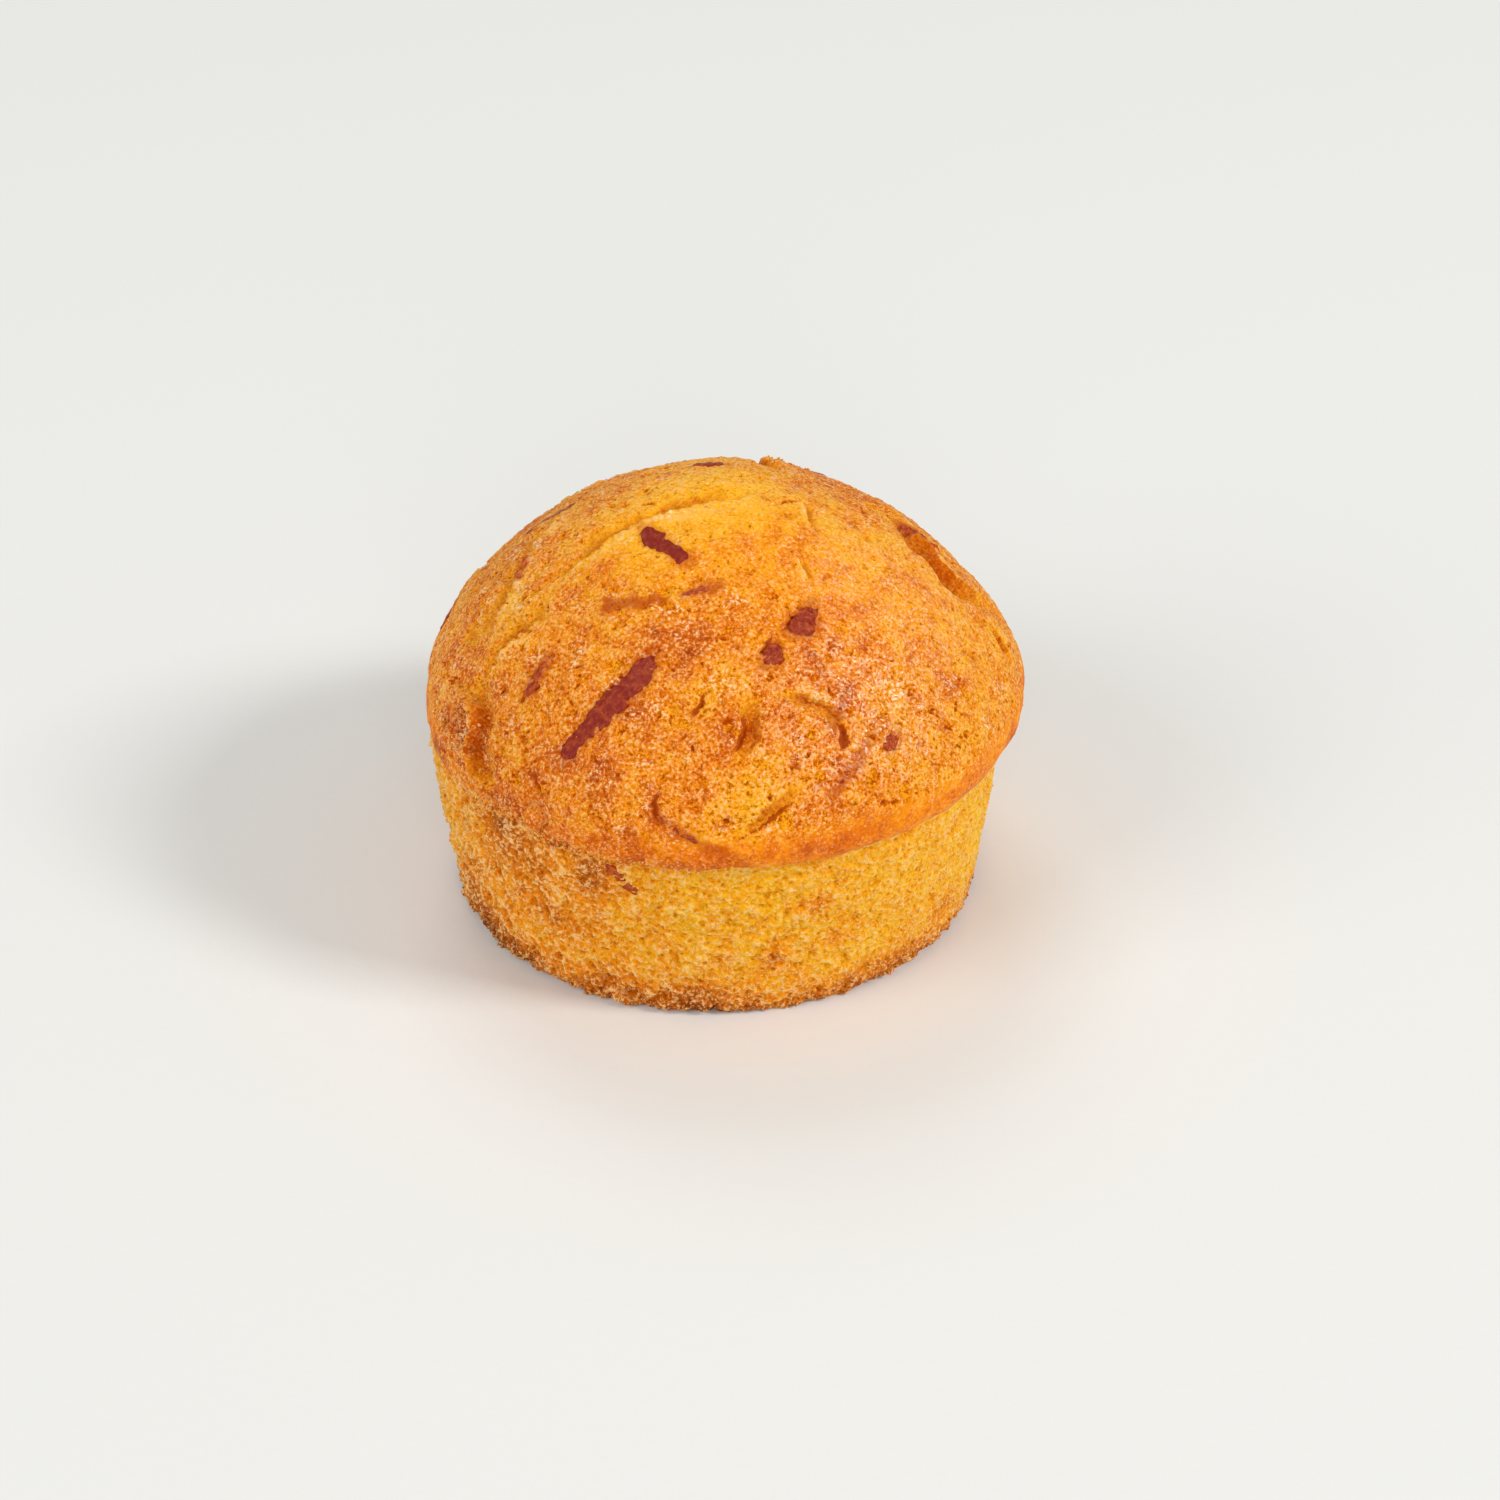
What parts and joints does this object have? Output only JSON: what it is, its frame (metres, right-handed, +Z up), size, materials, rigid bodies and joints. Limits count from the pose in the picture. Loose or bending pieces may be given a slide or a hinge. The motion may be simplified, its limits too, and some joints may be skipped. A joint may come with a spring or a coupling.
{
  "type": "cornbread muffin",
  "caption": "Round cornbread muffin with a cracked golden dome, dark red shreds baked into the crust, a porous tapering wall and a flat underside.",
  "frame": {"origin": "centre of the flat underside, on the surface that the muffin rests on", "axes": "+Z up from the underside to the crown; -Y towards the side with the long red shred, +X to its right"},
  "size_m": [0.0804, 0.0811, 0.0587],
  "materials": {
    "crust": "golden brown baked crust, finely pitted, with a slight sheen and tiny glints",
    "crumb": "open yellow cornbread crumb, matte, browned and crumbly round the underside",
    "red_shreds": "moist dark red shreds, glossy, partly covered by crumbs"
  },
  "bodies": {
    "root": {"muffin": "crust"}
  },
  "joints": []
}
